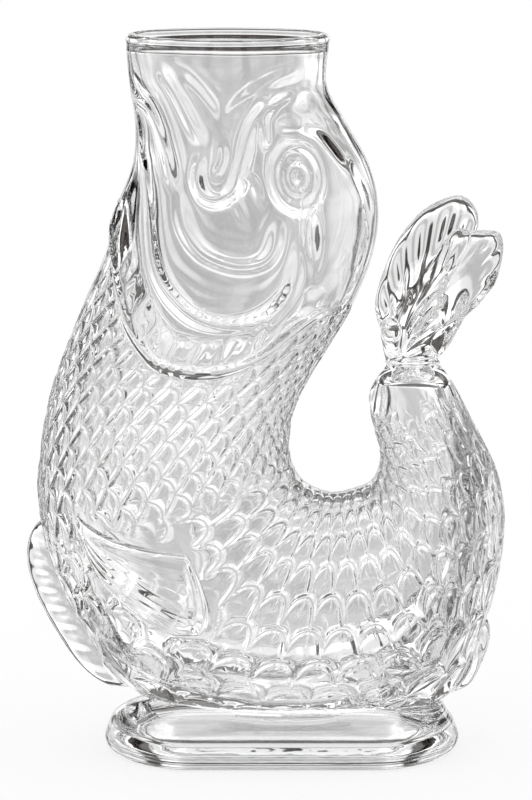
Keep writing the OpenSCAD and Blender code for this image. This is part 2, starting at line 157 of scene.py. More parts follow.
# %% Folds of the face
# height and width in millimetres, and a line of sections and turns
FOLDS = {
    "jaw": (1.5, 2.6, [(0.75, 6), (1.2, 22), (1.45, 36), (1.95, 42), (2.4, 45), (3.05, 49), (3.5, 55)]),
    "throat": (1.0, 2.2, [(1.4, 14), (1.9, 20), (2.5, 21), (3.0, 28), (3.45, 36), (4.1, 46)]),
    "lip": (1.3, 2.9, [(0.55, 48), (0.75, 55), (1.2, 61), (1.7, 64), (2.4, 69)]),
    "nose front": (0.9, 2.8, [(0.55, 60), (0.9, 70), (1.3, 76), (1.8, 80)]),
    "nose back": (0.9, 2.8, [(1.8, 82), (1.45, 91), (0.95, 108), (0.7, 121), (0.55, 138)]),
    "mouth corner": (1.5, 2.2, [
        (2.3, 70), (2.75, 65), (3.15, 64), (3.45, 68), (3.55, 75), (3.35, 81), (2.95, 84),
        (2.3, 91), (1.7, 100), (1.25, 110), (0.85, 121)]),
    "mouth hook": (0.6, 1.6, [(2.25, 79), (2.6, 78), (2.85, 75), (3.0, 72)]),
    "cheek leaf": (0.7, 2.0, [
        (4.2, 92), (3.8, 87), (3.45, 83), (3.15, 86), (3.05, 90), (3.35, 93), (3.8, 96)]),
    "brow": (1.2, 2.0, [(2.4, 101), (2.1, 102), (1.65, 106), (1.3, 117), (1.05, 133)]),
    "eyelid": (0.6, 2.4, [(1.9, 112), (1.92, 118), (1.95, 125)]),
    "forehead": (0.7, 3.0, [(1.45, 130), (1.35, 137), (1.3, 144)]),
    "temple": (1.1, 2.4, [(2.05, 124), (1.95, 132), (2.1, 138), (2.45, 142), (2.9, 146)]),
    "crown": (0.7, 2.8, [(1.65, 140), (1.95, 143), (2.5, 149), (2.9, 152), (3.45, 157), (4.1, 161)]),
    "inner cheek": (1.3, 2.8, [
        (3.3, 54), (3.6, 57), (4.15, 63), (4.6, 72), (4.8, 81), (4.9, 91), (4.8, 100),
        (4.55, 103), (4.2, 103), (3.8, 104)]),
    "outer cheek": (1.7, 2.7, [
        (3.1, 31), (3.75, 40), (4.8, 51), (5.3, 60), (5.65, 70), (5.95, 81), (6.1, 93),
        (6.05, 104), (5.85, 112), (5.5, 116), (5.05, 116), (4.6, 114), (4.0, 112)]),
}
FOLD_TAPER = 0.2
FOLD_REACH = 3
LINE_STEPS = 60


def line_points(line):
    """Points at even steps along a line on the skin."""
    return skin(*curve(line, np.linspace(0, len(line) - 1, LINE_STEPS)).T)


def to_line(points, line):
    """Distance of each point to a line on the skin."""
    path = line_points(line)
    gap = np.full(len(points), np.inf)
    for start, stop in zip(path[:-1], path[1:]):
        step = stop - start
        f = np.clip((points - start) @ step / (step @ step), 0, 1)
        gap = np.minimum(gap, np.linalg.norm(points - start - f[:, None] * step, axis=1))
    return gap


def face_folds(points):
    """Height of all the folds at each point."""
    total = np.zeros(len(points))
    for height, width, line in FOLDS.values():
        beads = line_points(line)
        along = np.linspace(0, 1, len(beads))
        size = np.linalg.norm(np.gradient(beads, axis=0), axis=1) / (width * math.sqrt(math.pi))
        size *= height * ease(0, FOLD_TAPER, along) * ease(0, FOLD_TAPER, 1 - along)
        reach = FOLD_REACH * width
        low, high = beads.min(axis=0) - reach, beads.max(axis=0) + reach
        near = np.all((points > low) & (points < high), axis=1)
        gap = np.linalg.norm(points[near][:, None] - beads[None], axis=2)
        total[near] += bump_at(gap, width) @ size
    return total


print("folds on each side", len(FOLDS))

# %% [markdown]
# The eye is an oval set of rings round a ball, and a small almond-shaped dimple sits behind the
# cheek. Both are measured in a flat pair of directions that lie on the skin, so that the oval keeps
# its shape on the curved head.

# %% Eye and dimple
EYE_LONG = [(2.25, 119), (3.8, 111)]
EYE_WIDE = [(2.91, 99), (2.95, 126)]
DIMPLE_LONG = [(3.75, 121), (4.85, 121)]
DIMPLE_WIDE = [(4.3, 117.5), (4.3, 124.5)]
DIMPLE_H = 0.8
DIMPLE_RIM = 0.45
DIMPLE_PIT = 0.8
OVAL_REACH = 2.2
OVAL_FAR = 9
# height in millimetres, then place and width as shares of the oval
EYE_RINGS = [(1.3, 0.86, 0.2), (0.9, 0.46, 0.15)]
EYE_BALL = 0.24
EYE_BALL_H = 0.9


def oval(points, long_ends, wide_ends):
    """Distance from an oval's centre as a share of its size: 0 at the centre and 1 on the outline."""
    a, b = (skin(*e) for e in long_ends)
    c, d = (skin(*e) for e in wide_ends)
    off = points - (a + b) / 2
    long_way, wide_way = (b - a) / 2, (d - c) / 2
    share = np.hypot(off @ long_way / (long_way @ long_way), off @ wide_way / (wide_way @ wide_way))
    return np.where(np.linalg.norm(off, axis=1) < OVAL_REACH * np.linalg.norm(long_way), share, OVAL_FAR)


def eye_and_dimple(points):
    r = oval(points, EYE_LONG, EYE_WIDE)
    rings = sum(high * bump_at(r - place, wide) for high, place, wide in EYE_RINGS)
    ball = EYE_BALL_H * np.sqrt(np.clip(1 - (r / EYE_BALL) ** 2, 0, 1))
    pit = oval(points, DIMPLE_LONG, DIMPLE_WIDE)
    dimple = bump_at(pit - 1, DIMPLE_RIM) - bump_at(pit, DIMPLE_PIT)
    return rings + ball + DIMPLE_H * dimple


print("eye length mm", round(float(np.linalg.norm(skin(*EYE_LONG[1]) - skin(*EYE_LONG[0]))), 1))

# %% [markdown]
# The gill cover is a raised plate whose free edge ends in a thick bead, and a row of soft lobes
# runs along it. The signed distance to the edge line gives the plate, the drop and the bead, and
# the turn round the body counts the lobes.

# %% Gill cover
GILL_EDGE = [
    (3.85, 0), (4.0, 6), (4.6, 18), (5.35, 33), (5.9, 45), (6.2, 51), (6.65, 63), (7.0, 74), (7.2, 87),
    (7.25, 97), (7.2, 106), (7.0, 115), (6.7, 122), (6.4, 127), (6.1, 134), (5.9, 146), (5.75, 180)]
GILL_RISE = 2.0
GILL_BEAD = 1.5
GILL_BEAD_IN = 2.0
GILL_BEAD_W = 1.35
GILL_BACK = (118, 148)
GILL_BELLY = (4, 18)
GILL_LOW = 0.45
PLATE_RISE = (-17, -3)
PLATE_DROP = (-0.8, 0.7)
LOBE_TURN = 11.0
LOBE_H = 0.55
LOBE_RISE = (-14, -9.5)
LOBE_STOP = (2.8, 5.6)
LOBE_FIRST = (34, 42)
LOBE_LAST = (112, 118)


def gill_cover(points, t, turn):
    """Height of the gill cover and the distance past its edge, in millimetres."""
    gap = to_line(points, GILL_EDGE)
    edge_t = np.interp(turn, [e[1] for e in GILL_EDGE], [e[0] for e in GILL_EDGE])
    past = np.where(t > edge_t, gap, -gap)
    fade = (1 - ease(*GILL_BACK, turn)) * (GILL_LOW + (1 - GILL_LOW) * ease(*GILL_BELLY, turn))
    plate = GILL_RISE * ease(*PLATE_RISE, past) * ease(*PLATE_DROP, -past)
    bead = GILL_BEAD * bump_at(past + GILL_BEAD_IN, GILL_BEAD_W)
    lobe = np.abs(np.mod(turn / LOBE_TURN, 1) * 2 - 1)
    lobes = LOBE_H * (1 - lobe**4) * ease(*LOBE_RISE, past) * ease(*LOBE_STOP, -past)
    lobes = lobes * ease(*LOBE_FIRST, turn) * (1 - ease(*LOBE_LAST, turn))
    return fade * (plate + bead + lobes), past


gill_path = line_points(GILL_EDGE)
print("gill edge mm", round(float(np.linalg.norm(np.diff(gill_path, axis=0), axis=1).sum()), 1))

# %% [markdown]
# Lapped scales cover the rest. They lie in rows along the fish, with every other row moved half a
# scale. What shows of a scale is its thick free edge, which bows towards the back and ends under
# the next scale. One edge curve, given as shares of a scale's length and of the row, is repeated
# over the skin, and a round bead follows it. The mesh carries a soft bead, and the glass material
# below adds the fine one from the same curve.

# %% Scales
SMALL = {"pitch": 13.6, "turn": 6.2, "row": 5.1, "high": 0.62, "rim": 1.2, "edge": [
    (0.0, -0.5), (0.06, -0.1), (0.16, 0.25), (0.34, 0.48), (0.54, 0.42), (0.78, 0.0), (1.0, -0.5)]}
LARGE = {"pitch": 11.6, "turn": 16.4, "row": 13.0, "high": 0.54, "rim": 1.15, "edge": [
    (0.0, 0.2), (0.12, 0.39), (0.35, 0.5), (0.6, 0.47), (0.8, 0.25), (0.92, -0.1), (1.0, -0.4)]}
CHANGE_T = 10.6
CHANGE_LONG = 0.5
MESH_RIM = 1.3
MESH_SHARE = 0.65
FINE_SHARE = 0.75
EDGE_STOPS = 24
EDGE_FINE = 200


def edge_curve(kind):
    """Places along a scale, its free edge there as a share of the row, and how squarely the edge runs."""
    along = np.linspace(0, 1, EDGE_STOPS)
    rows = curve(kind["edge"], np.linspace(0, len(kind["edge"]) - 1, EDGE_FINE))
    edge = np.interp(along, rows[:, 0], rows[:, 1])
    lean = 1 / np.hypot(1, np.gradient(edge, along) * kind["row"] / kind["pitch"])
    return along, edge, lean


def rim_gap(s, turn, kind):
    """Distance in millimetres to the nearest free edge, at runs s along the fish."""
    along, edge, lean = edge_curve(kind)
    k = np.floor(turn / kind["turn"])
    p = s / kind["pitch"] + 0.5 * np.mod(k, 2)
    gap = np.full_like(p, np.inf)
    for shift, level in ((0.0, 0.0), (0.5, 1.0), (0.5, -1.0)):
        x = np.mod(p + shift, 1)
        off = np.abs(turn / kind["turn"] - k - level - np.interp(x, along, edge))
        gap = np.minimum(gap, off * np.interp(x, along, lean) * kind["row"])
    return gap


def small_share(t):
    return 1 - ease(CHANGE_T - CHANGE_LONG, CHANGE_T + CHANGE_LONG, t)


def scales(t, turn):
    s = np.interp(t, fine_t, run)
    small = SMALL["high"] * bump_at(rim_gap(s, turn, SMALL), MESH_RIM) * small_share(t)
    large = LARGE["high"] * bump_at(rim_gap(s, turn, LARGE), MESH_RIM) * (1 - small_share(t))
    return MESH_SHARE * (small + large)


print("scale rows on each side", round(180 / SMALL["turn"]), "and", round(180 / LARGE["turn"]))

# %% [markdown]
# The side fin is a flat fan that lies on the belly. Its outline is two lines on the skin, the lower
# edge and the top edge, which start together at the root, and the end between them bows out. The
# same outline tells the scales where to stop, so it is worked out before the skin is made.

# %% Outline of the side fin
FIN_LOW = [(10.2, 46), (10.7, 50), (11.15, 52), (11.6, 55), (12.2, 62), (12.7, 70), (12.98, 78)]
FIN_TOP = [(10.12, 48), (10.35, 54), (10.75, 67), (11.0, 76), (11.25, 84), (11.45, 90), (11.62, 94)]
FIN_BOW = (0.42, 3.2)
FIN_CLEAR = 2.2


def fin_place(u, v):
    """Section and turn on the fin: u runs from the root to the end, v from the lower edge to the top."""
    low = curve(FIN_LOW, u * (len(FIN_LOW) - 1))
    top = curve(FIN_TOP, u * (len(FIN_TOP) - 1))
    bow = (4 * v * (1 - v) * u**3)[:, None] * np.array(FIN_BOW)
    return (low * (1 - v)[:, None] + top * v[:, None] + bow).T


def near_fin(points):
    """1 on the fin and its margin, fading out over a few millimetres."""
    grid_u, grid_v = (g.ravel() for g in np.meshgrid(np.linspace(0, 1, 40), np.linspace(0, 1, 30)))
    spots = skin(*fin_place(grid_u, grid_v))
    low, high = spots.min(axis=0) - 3 * FIN_CLEAR, spots.max(axis=0) + 3 * FIN_CLEAR
    inside = np.all((points > low) & (points < high), axis=1)
    cover = np.zeros(len(points))
    gap = np.linalg.norm(points[inside][:, None] - spots[None], axis=2).min(axis=1)
    cover[inside] = 1 - ease(FIN_CLEAR, 2 * FIN_CLEAR, gap)
    return cover


print("side fin length mm", round(float(np.linalg.norm(skin(*FIN_LOW[-1]) - skin(*FIN_LOW[0]))), 1))

# %% [markdown]
# All of these heights are added up for one side of the fish. Slow waves of a tenth of a millimetre
# keep the smooth parts from looking machined, as on glass that was worked hot. They are kept apart
# from the raised forms, because the far side takes the forms at half their height and the waves in
# full.

# %% Relief of one side
BARE_TAIL = 20.3
BARE_INNER = 1.1
INNER_SIDE = (80, 100)
SCALE_START = (0.6, 3.5)
FOOT_CLEAR = (-1, 4)
THROAT_TURN = (12, 34)
THROAT_T = (5.5, 7.5)
THROAT_BARE = 0.9
WAVE_H = 0.1


def bare_tail(t, turn):
    """1 where the tail under the collar is left smooth: lower down on its inner side."""
    start = BARE_TAIL - BARE_INNER * ease(*INNER_SIDE, turn)
    return ease(start, start + 0.5, t)


def relief(t, turn):
    """Raised forms and slow waves over the smooth fish, and how far scales cover each place."""
    points = skin(t, turn).reshape(-1, 3)
    flat_t, flat_turn = t.ravel(), turn.ravel()
    cover, past = gill_cover(points, flat_t, flat_turn)
    x, y, z = points.T
    laid = ease(*SCALE_START, past) * (1 - bare_tail(flat_t, flat_turn)) * (1 - near_fin(points))
    laid *= ease(*FOOT_CLEAR, z - foot_high[2])
    laid *= 1 - THROAT_BARE * (1 - ease(*THROAT_TURN, flat_turn)) * (1 - ease(*THROAT_T, flat_t))
    wave = np.sin(x / 7.3 + 1.3 * np.sin(z / 9.1)) + np.sin(z / 6.7 + 0.7 * np.sin(y / 8.3))
    raised = cover + face_folds(points) + eye_and_dimple(points) + laid * scales(flat_t, flat_turn)
    return raised.reshape(t.shape), (WAVE_H * wave).reshape(t.shape), laid.reshape(t.shape)


# %% [markdown]
# Every form of the jug is a flat sheet that is rolled up, as a potter rolls a slab: a grid is
# created, its points are moved to rows of places, the long edges meet and are merged, and rows that
# shrink to a point close the ends. The body's sheet runs from the far end of the cavity, up its
# inner wall, over the lip, down the outer skin and ends on the tail collar, so the glass has its
# real wall.

# %% Rolling a sheet
def rolled(name, rows):
    """Closed mesh from rows of places in millimetres, the same number in every row."""
    places = np.array(rows)
    count, around = places.shape[:2]
    form = bmesh.new()
    bmesh.ops.create_grid(form, x_segments=around - 1, y_segments=count - 1, size=0.5)
    for v in form.verts:
        v.co = places[round((v.co.y + 0.5) * (count - 1)), round((v.co.x + 0.5) * (around - 1))] * MM
    bmesh.ops.remove_doubles(form, verts=form.verts, dist=0.002 * MM)
    bmesh.ops.recalc_face_normals(form, faces=form.faces)
    mesh = bpy.data.meshes.new(name)
    form.to_mesh(mesh)
    form.free()
    piece = bpy.data.objects.new(name, mesh)
    bpy.context.scene.collection.objects.link(piece)
    return piece


# %% [markdown]
# The body's rows come in three lots, which share their places round the fish. These lie closer
# together on the two flanks, where the relief is seen face on. The first lot is the cavity: the
# skin moved inwards by the wall, with a dome under the collar and a soft floor.

# %% Cavity
COLUMNS = 224
SIDE_SHARE = 0.35
INNER_ROWS = 28
DOME_ROWS = 9
WALL = 4.5
MOUTH_WALL = 2.9
CAVITY_STOP = 3.0
DOME_L = 6.0
FLOOR_Z = 12.0
FLOOR_ROUND = 4.0

steps = np.arange(COLUMNS + 1) / COLUMNS
turns = 360 * (steps + SIDE_SHARE * np.sin(4 * np.pi * steps) / (4 * np.pi))
one_side = turns[: COLUMNS // 2 + 1]


def at_run(mm):
    return np.interp(mm, run, fine_t)


def inner_ring(t):
    wall = MOUTH_WALL + (WALL - MOUTH_WALL) * ease(0, 1.6, t)
    return skin(np.full(COLUMNS + 1, t), turns, wall)


def cavity_rows():
    rows = []
    for k in range(DOME_ROWS):
        f = math.pi / 2 * k / DOME_ROWS
        t = at_run(FISH_L - CAVITY_STOP - DOME_L * (1 - math.cos(f)))
        middle = skin(t, 90) * [1, 0, 1]
        rows.append(middle + (inner_ring(t) - middle) * math.sin(f))
    for s in np.linspace(FISH_L - CAVITY_STOP - DOME_L, 2.0, INNER_ROWS):
        rows.append(inner_ring(at_run(s)))
    for r in rows:
        over = r[:, 2] - FLOOR_Z
        soft = FLOOR_ROUND * np.exp(np.minimum(over, FLOOR_ROUND) / FLOOR_ROUND - 1)
        r[:, 2] = FLOOR_Z + np.where(over > FLOOR_ROUND, over, soft)
    return rows


print("cavity rows", DOME_ROWS + INNER_ROWS)

# %% [markdown]
# The lip is fire-polished on the real jug: the rim is melted until it draws itself into a round
# bead. Here an arc of a circle is turned round the mouth. It starts at the inner wall and stops at
# the neck.

# %% Lip
LIP_ROWS = 12
LIP_R = 2.0
LIP_IN = 0.6
LIP_SHIFT = 1.4
NECK_R = 36.5


def lip_rows():
    centre_r, centre_z = lip_high[0] - mouth[0] - LIP_R - LIP_IN, lip_high[2] - LIP_R
    start = math.pi + math.acos((centre_r - NECK_R + MOUTH_WALL) / LIP_R)
    stop = -math.acos((NECK_R - centre_r) / LIP_R)
    rows = []
    for f in np.linspace(start, stop, LIP_ROWS + 1):
        r, z = centre_r + LIP_R * math.cos(f), centre_z + LIP_R * math.sin(f)
        a = np.radians(turns)
        across = mouth[0] + LIP_SHIFT - r * np.cos(a)
        rows.append(np.stack([across, -r * np.sin(a), np.full_like(a, z)], axis=1))
    return rows


print("lip bead mm", 2 * LIP_R)

# %% [markdown]
# The outer skin carries the relief. The near side has all of it and the far side has half: clear
# glass shows both sides at once, and in the photo it is the near one that reads. The run, the turn
# and the cover of scales are noted for each place, as the glass material needs them later.

# %% Outer skin
OUTER_ROWS = 336
BACK_SHARE = 0.5
FIRST_RUN = 1.2
CAP_RINGS = (0.7, 0.35, 0)
skin_marks = []


def skin_rows():
    t = np.repeat(at_run(np.linspace(FIRST_RUN, FISH_L, OUTER_ROWS))[:, None], len(one_side), axis=1)
    a = np.repeat(one_side[None, :], OUTER_ROWS, axis=0)
    raised, wave, laid = relief(t, a)
    near = skin(t, a) + (raised + wave)[..., None] * skin_normal(t, a)
    far = (skin(t, a) + (BACK_SHARE * raised + wave)[..., None] * skin_normal(t, a)) * [1, -1, 1]
    places = np.stack([np.interp(t, fine_t, run), a, laid], axis=-1).reshape(-1, 3)
    skin_marks.extend(zip(near.reshape(-1, 3), places))
    skin_marks.extend(zip(far.reshape(-1, 3), places * [1, 1, BACK_SHARE]))
    near[:, [0, -1]] = far[:, [0, -1]] = (near[:, [0, -1]] + far[:, [0, -1]]) / 2
    rows = list(np.concatenate([near, far[:, -2::-1]], axis=1))
    hub = rows[-1].mean(axis=0)
    return rows + [hub + (rows[-1] - hub) * f for f in CAP_RINGS]


jug = rolled("jug_glass", cavity_rows() + lip_rows() + skin_rows())
print("rolled body faces", len(jug.data.polygons))

# %% [markdown]
# The foot is a plinth: bowed at both ends and nearly straight in front and behind. From the waist
# under the belly it swells out, and its lower edge is turned under. Its rings follow the packed
# foot's own length, width and height.

# %% Foot
FOOT_STRAIGHT = 78.0
FOOT_ROUND_H = 4.5
FOOT_ROUND_IN = 3.0
WAIST_L = 119.0
WAIST_W = 62.0
FOOT_SWELL = 1.25
FOOT_COLUMNS = 128
CORNER_PASSES = 5
END_STEPS = 41


def foot_ring(z, length, width):
    bow = (length - FOOT_STRAIGHT) / 2
    r = (width**2 / 4 + bow**2) / (2 * bow)
    half_turn = math.asin(width / 2 / r)
    bends = np.linspace(-half_turn, half_turn, END_STEPS)
    end = [(length / 2 - r + r * math.cos(a), r * math.sin(a)) for a in bends]
    outline = np.array(end + [(-x, -y) for x, y in end] + end[:1])
    walk = np.concatenate([[0], np.cumsum(np.linalg.norm(np.diff(outline, axis=0), axis=1))])
    even = np.linspace(0, walk[-1], FOOT_COLUMNS + 1)[:-1]
    p = np.stack([np.interp(even, walk, outline[:, 0]), np.interp(even, walk, outline[:, 1])], axis=1)
    for _ in range(CORNER_PASSES):
        p = (np.roll(p, 1, axis=0) + 2 * p + np.roll(p, -1, axis=0)) / 4
    p = np.concatenate([p, p[:1]])
    return np.concatenate([p, np.full((len(p), 1), z)], axis=1)


def foot_rows():
    length, width, height = foot_high - foot_low
    base = foot_ring(0, length - 2 * FOOT_ROUND_IN, width - 2 * FOOT_ROUND_IN)
    rows = [base * [f, f, 1] for f in (0, 0.3, 0.6, 0.85)]
    for a in np.linspace(0, math.pi / 2, 9):
        inset = 2 * FOOT_ROUND_IN * (1 - math.sin(a))
        rows.append(foot_ring(FOOT_ROUND_H * (1 - math.cos(a)), length - inset, width - inset))
    for s in np.linspace(0.1, 1, 10):
        flare = s**FOOT_SWELL
        z = FOOT_ROUND_H + (height - FOOT_ROUND_H) * s
        rows.append(foot_ring(z, length + (WAIST_L - length) * flare, width + (WAIST_W - width) * flare))
    return rows + [rows[-1] * [f, f, 1] for f in (0.85, 0.5, 0)]


foot = rolled("foot_form", foot_rows())
print("foot faces", len(foot.data.polygons))

# %% [markdown]
# The photo's foot is calm and clear, as a hollow one is: a solid foot would work as a lens. The
# hollow is a smaller form of the same kind. It leaves a wall and a floor in the foot and opens into
# the belly.

# %% Hollow in the foot
FOOT_WALL = 6.5
FOOT_FLOOR = 5.0
HOLLOW_ROUND = 4.0
HOLLOW_TOP = 24.0
HOLLOW_L = 76.0
HOLLOW_W = 34.0


def hollow_rows():
    length, width, _ = foot_high - foot_low
    wall = 2 * FOOT_WALL
    rows = []
    for a in np.linspace(0, math.pi / 2, 7):
        inset = 2 * (FOOT_WALL + HOLLOW_ROUND * (1 - math.sin(a)))
        z = FOOT_FLOOR + HOLLOW_ROUND * (1 - math.cos(a))
        rows.append(foot_ring(z, length - inset, width - inset))
    rows = [rows[0] * [f, f, 1] for f in (0, 0.4, 0.8)] + rows
    for s in np.linspace(0.15, 1, 8):
        flare = s**FOOT_SWELL
        z = FOOT_FLOOR + HOLLOW_ROUND + (HOLLOW_TOP - FOOT_FLOOR - HOLLOW_ROUND) * s
        long, wide = HOLLOW_L - length + wall, HOLLOW_W - width + wall
        rows.append(foot_ring(z, length - wall + long * flare, width - wall + wide * flare))
    return rows + [rows[-1] * [f, f, 1] for f in CAP_RINGS]


hollow = rolled("foot_hollow_form", hollow_rows())
print("hollow faces", len(hollow.data.polygons))

# %% [markdown]
# Two thin fins stand on the belly line: a long one in front and a short one under the tail. Each is
# a blade that starts inside the wall, with slanted ribs pressed into its sides.

# %% Keel fins
BLADE_COLUMNS = 40
BLADE_ROOT = 3.2
BLADE_RIB = 0.3
BELLY_FIN = {"first": 10.35, "last": 13.05, "stand": 10.0, "thick": 6.0, "ribs": 9, "slant": 0.9,
             "rows_count": 72}
REAR_FIN = {"first": 16.0, "last": 16.9, "stand": 4.5, "thick": 6.0, "ribs": 3, "slant": 0.5,
            "rows_count": 28}


def blade(name, first, last, stand, thick, ribs, slant, rows_count):
    around = np.linspace(0, 2 * np.pi, BLADE_COLUMNS + 1)
    up, side = (1 - np.cos(around)) / 2, np.sign(np.sin(around)) * np.abs(np.sin(around)) ** 0.6
    on_rib = ease(0.3, 0.5, up) * (1 - ease(0.7, 0.9, up))
    rows = []
    for v in np.linspace(0, 1, rows_count):
        t = first + (last - first) * v
        base, out = skin(t, 0.0), skin_normal(np.array(t), np.array(0.0))
        swell = (1 - abs(2 * v - 1) ** 3.5) ** 0.8
        height = (BLADE_ROOT + stand * swell) * up - BLADE_ROOT
        rib = BLADE_RIB * np.cos(2 * np.pi * (ribs * v + slant * up)) * on_rib
        half = (thick / 2 * (1 - 0.45 * up) + rib) * (0.15 + 0.85 * swell)
        rows.append(base + out * height[:, None] + np.array([0, 1, 0]) * (half * side)[:, None])
    ends = [np.repeat(r.mean(axis=0)[None], BLADE_COLUMNS + 1, axis=0) for r in (rows[0], rows[-1])]
    return rolled(name, ends[:1] + rows + ends[1:])


belly_fin = blade("belly_fin_form", **BELLY_FIN)
rear_fin = blade("rear_fin_form", **REAR_FIN)
print("keel fins", len(belly_fin.data.polygons), len(rear_fin.data.polygons))

# %% [markdown]
# Each side fin is a slab on the skin, so that its edges can be true steps. The slab stands off most
# along the lower edge. A raised band follows the top and the end, with a groove inside the end, and
# faint wavy ribs run between. Its underside is hidden in the wall.

# %% Side fins
FIN_ROWS = 52
FIN_COLUMNS = 40
FIN_SINK = 1.2
FIN_EDGE_R = 0.9
FIN_STAND_LOW = 3.0
FIN_STAND_TOP = 1.5
FIN_RIBS = 8
FIN_RIB = 0.05
# height, distance from the edge and width, in millimetres
BAND_TOP = (0.5, 2.6, 2.0)
BAND_END = (0.6, 2.4, 1.8)
GROOVE = (0.45, 5.4, 1.5)


def rounded(gap):
    """Quarter-round edge: 0 at the edge and 1 from the edge radius inwards."""
    return np.sqrt(1 - (1 - np.clip(gap / FIN_EDGE_R, 0, 1)) ** 2)


def ridge(gap, high, place, width):
    """Round ridge of this height, at a distance from an edge."""
    return high * bump_at(gap - place, width)


def fin_heights(u, v, long, wide):
    """Top and underside of the slab over the skin."""
    from_low, from_top, from_end = v * wide, (1 - v) * wide, (1 - u) * long
    stand = FIN_STAND_LOW + (FIN_STAND_TOP - FIN_STAND_LOW) * ease(0, 0.8, v)
    band = ridge(from_top, *BAND_TOP) + ridge(from_end, *BAND_END)
    groove = ridge(from_end, *GROOVE) * ease(3, 7, from_low) * ease(2, 5, from_top)
    ribs = FIN_RIB * np.cos(2 * np.pi * FIN_RIBS * v + 0.9 * np.sin(8 * u)) * ease(0.12, 0.35, u)
    ribs = ribs * ease(5, 9, from_end) * ease(3, 5, from_top) * ease(1.5, 3, from_low)
    edge = rounded(from_low) * rounded(from_top) * rounded(from_end) * rounded(u * long)
    top = (stand + band) * ease(-0.15, 0.4, u) - groove + ribs
    return (FIN_SINK + top) * edge - FIN_SINK, -FIN_SINK - edge


def fin_rows(mirror):
    rows = []
    v = (1 - np.cos(np.linspace(0, np.pi, FIN_COLUMNS + 1))) / 2
    long = np.linalg.norm(skin(*FIN_LOW[0]) - skin(*FIN_LOW[-1]))
    for u in np.sin(np.linspace(0, np.pi / 2, FIN_ROWS + 1)):
        t, turn = fin_place(np.full_like(v, u), v)
        base, out = skin(t, turn), skin_normal(t, turn)
        wide = np.linalg.norm(np.diff(base, axis=0), axis=1).sum()
        above, below = fin_heights(u, v, long, wide)
        loop = np.concatenate([base + out * above[:, None], (base + out * below[:, None])[::-1]])
        rows.append(np.concatenate([loop, loop[:1]]) * [1, mirror, 1])
    return rows


side_fins = [rolled("side_fin_form", fin_rows(mirror)) for mirror in (1, -1)]
print("side fin faces", [len(f.data.polygons) for f in side_fins])

# %% [markdown]
# The foot and the keel fins are fused to the body while hot. A Boolean union does the same: it
# removes what lies inside, so that no hidden face is left in the glass. Hot glass also flows into
# the corner where two forms meet. The corners, which are edges that fold inwards sharply, are found
# and smoothed a few times with their neighbours. Then the hollow is taken out of the foot. The side
# fins are fused last, because their edges stay crisp.

# %% Fusing
CORNER = math.radians(28)
# lowest and highest millimetre, rings of neighbours, passes
FOOT_FLOW = (5, 30, 5, 24)


def fuse(piece, form, how="UNION"):
    weld = piece.modifiers.new("weld", "BOOLEAN")
    weld.operation, weld.solver, weld.object = how, "MANIFOLD", form
    whole = bpy.data.meshes.new_from_object(piece.evaluated_get(bpy.context.evaluated_depsgraph_get()))
    piece.modifiers.clear()
    old, piece.data = piece.data, whole
    bpy.data.meshes.remove(old)
    bpy.data.objects.remove(form)


def flow(piece, low, high, rings, passes):
    """Smooths the inward corners between two heights in millimetres."""
    form = bmesh.new()
    form.from_mesh(piece.data)
    soft = set()
    for e in form.edges:
        level = e.verts[0].co.z / MM
        if low < level < high and e.is_manifold and e.calc_face_angle_signed() < -CORNER:
            soft.update(e.verts)
    for _ in range(rings):
        soft |= {e.other_vert(v) for v in soft for e in v.link_edges}
    for _ in range(passes):
        bmesh.ops.smooth_vert(form, verts=list(soft), factor=0.5, use_axis_x=True, use_axis_y=True,
                              use_axis_z=True)
    form.to_mesh(piece.data)
    form.free()
    return len(soft)


for form in (foot, belly_fin, rear_fin):
    fuse(jug, form)
print("smoothed corner points", flow(jug, *FOOT_FLOW))
fuse(jug, hollow, "DIFFERENCE")
for form in side_fins:
    fuse(jug, form)

# %% [markdown]
# Fusing makes new points, so every point of the jug looks up the nearest noted place on the skin.
# Only a close one counts, and the rest, such as the cavity and the fins, stay without scales. The
# glass is shaded smooth, except where two faces meet at a sharp angle.

# %% Marking the skin
MARK_REACH = 0.3
SHARP = math.radians(55)


def finish_surface(piece):
    piece.data.name = piece.name
    piece.data.shade_smooth()
    piece.data.set_sharp_from_angle(angle=SHARP)


def mark_skin(piece):
    """Stores on every point of the outer skin its run, its turn and how far scales cover it."""
    tree = KDTree(len(skin_marks))
    for i, (point, _) in enumerate(skin_marks):
        tree.insert(point, i)
    tree.balance()
    values = np.zeros((len(piece.data.vertices), 3))
    for v in piece.data.vertices:
        _, i, gap = tree.find(v.co / MM)
        values[v.index] = skin_marks[i][1] * [1, 1, gap < MARK_REACH]
    marks = piece.data.attributes.new("skin_place", "FLOAT_VECTOR", "POINT")
    marks.data.foreach_set("vector", values.ravel())


mark_skin(jug)
finish_surface(jug)
triangles = sum(len(p.vertices) - 2 for p in jug.data.polygons)
print("fused jug faces", len(jug.data.polygons), "triangles", triangles)

# %% [markdown]
# The tail fin is pressed from a lump of hot glass: a thick stem that opens into two fluted petals,
# one behind the other. Each petal is a fan of ribs from a point in the stem to its outline. It is
# as thick as the stem at its root and thin at its edge, and the top of the stem slants, so that
# stem and petals flow into each other.

